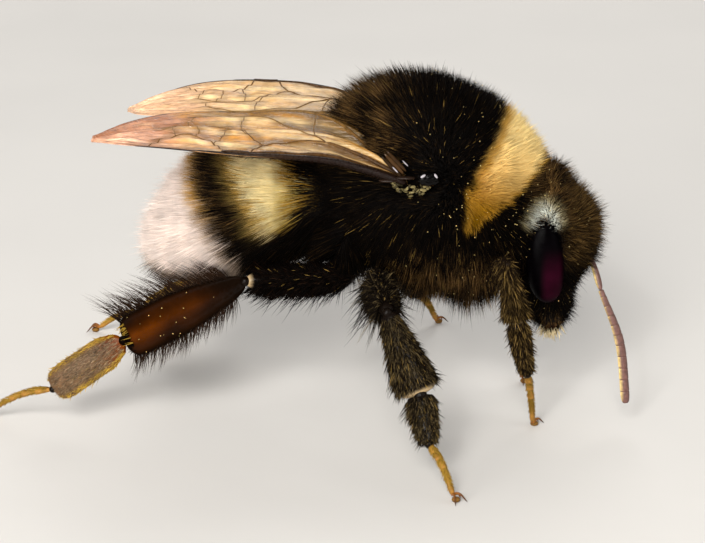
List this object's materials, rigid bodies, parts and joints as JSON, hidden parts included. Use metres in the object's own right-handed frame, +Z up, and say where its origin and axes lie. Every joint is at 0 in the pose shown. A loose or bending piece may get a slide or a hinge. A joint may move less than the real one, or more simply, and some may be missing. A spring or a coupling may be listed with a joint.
{
  "type": "bumblebee",
  "caption": "Still life-size bumblebee standing on its feet: furry black body with gold collar, yellow band and pale tail, folded amber wings, bent legs and feelers.",
  "frame": {"origin": "on the floor under the middle of the bee's overall box", "axes": "+X towards the head, +Y to the bee's left, +Z up"},
  "size_m": [0.0236, 0.0174, 0.0125],
  "materials": {
    "coat": "dense soft hair, black with a gold collar, a pale yellow band and a whitish tail",
    "eye": "glossy dark purple-brown, finely faceted",
    "shell": "glossy black-brown chitin",
    "feeler": "satin mauve-brown, ringed, with a pale bloom",
    "wing": "thin amber membrane with brown veins, smoky towards the tips",
    "leg": "glossy dark brown chitin under bristly hair",
    "foot": "golden-brown jointed foot with short hair and dark claws"
  },
  "bodies": {
    "root": {"head": "coat", "thorax": "coat", "abdomen": "coat", "eye_right": "eye", "eye_left": "eye", "tegula_right": "shell", "tegula_left": "shell", "mandible_right": "shell", "mandible_left": "shell", "scape_right": "feeler", "scape_left": "feeler", "flagellum_right": "feeler", "flagellum_left": "feeler", "forewing_right": "wing", "forewing_left": "wing", "hindwing_right": "wing", "hindwing_left": "wing", "femur_front_right": "leg", "tibia_front_right": "leg", "basitarsus_front_right": "leg", "tarsus_front_right": "foot", "femur_front_left": "leg", "tibia_front_left": "leg", "basitarsus_front_left": "leg", "tarsus_front_left": "foot", "femur_mid_right": "leg", "tibia_mid_right": "leg", "basitarsus_mid_right": "leg", "tarsus_mid_right": "foot", "femur_mid_left": "leg", "tibia_mid_left": "leg", "basitarsus_mid_left": "leg", "tarsus_mid_left": "foot", "femur_hind_right": "leg", "tibia_hind_right": "leg", "basitarsus_hind_right": "leg", "tarsus_hind_right": "foot", "femur_hind_left": "leg", "tibia_hind_left": "leg", "basitarsus_hind_left": "leg", "tarsus_hind_left": "foot"}
  },
  "joints": []
}
